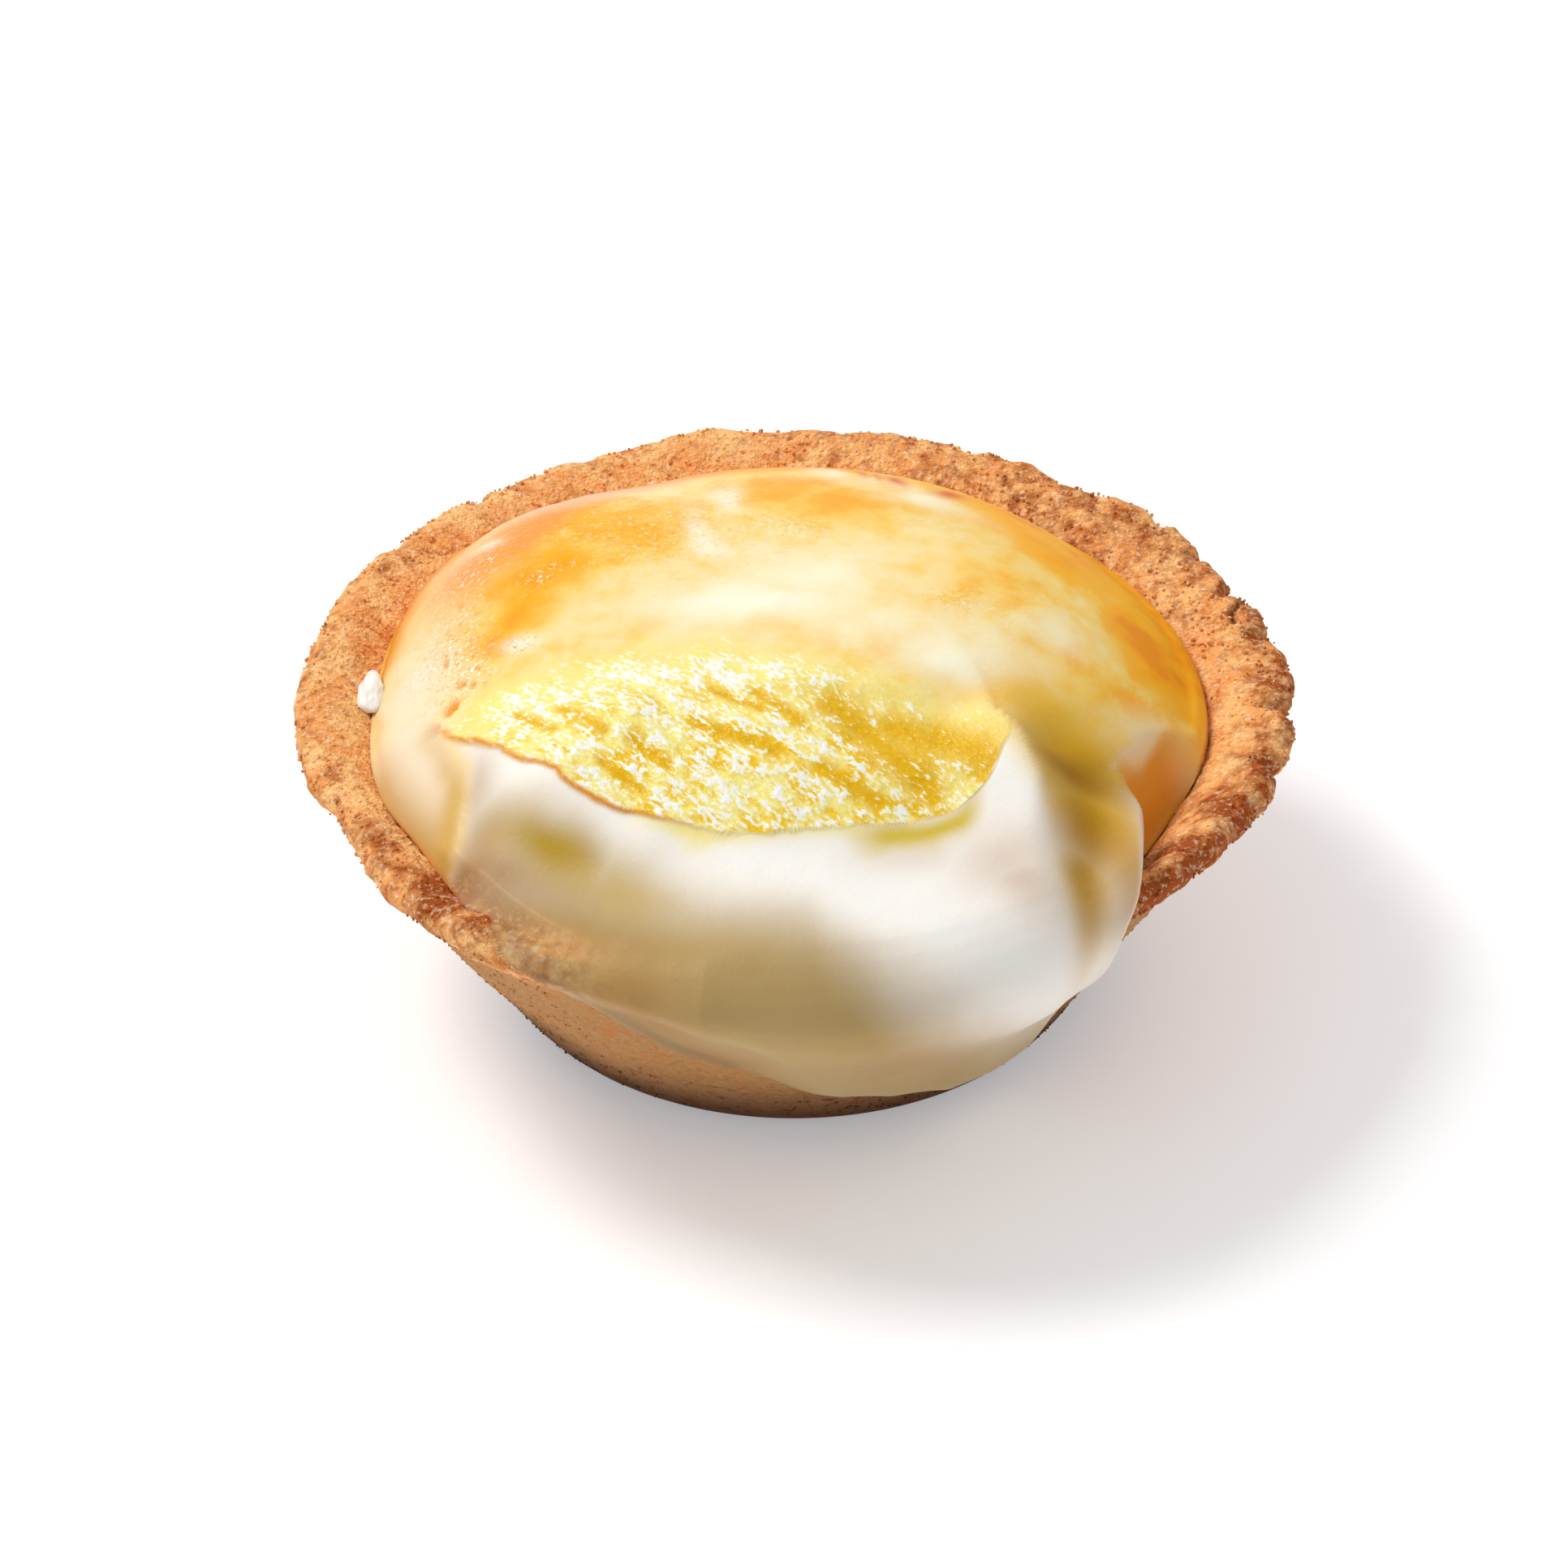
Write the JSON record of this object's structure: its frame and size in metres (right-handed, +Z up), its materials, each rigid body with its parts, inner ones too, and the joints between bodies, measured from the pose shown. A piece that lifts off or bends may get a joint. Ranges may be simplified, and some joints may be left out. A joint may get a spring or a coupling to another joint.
{
  "type": "cheese tart",
  "caption": "Round baked cheese tart: a tapered shortcrust shell with a flared uneven rim, filled with a glazed cheese dome whose soft inside runs over the front of the rim and down the wall",
  "frame": {"origin": "centre of the flat underside of the shell, on the surface the tart stands on", "axes": "+Z up; -Y is the front, where the cheese runs over the rim; +X is to the right seen from the front"},
  "size_m": [0.0752, 0.0769, 0.0346],
  "materials": {
    "baked_crust": "golden-brown shortcrust, dry and crumbly, darker on its rim and at its foot",
    "cheese_cream": "soft baked cheese, pale cream to golden yellow, egg-glazed on its dome and satin where it runs"
  },
  "bodies": {
    "root": {"tart_shell": "baked_crust", "cheese_filling": "cheese_cream"}
  },
  "joints": []
}
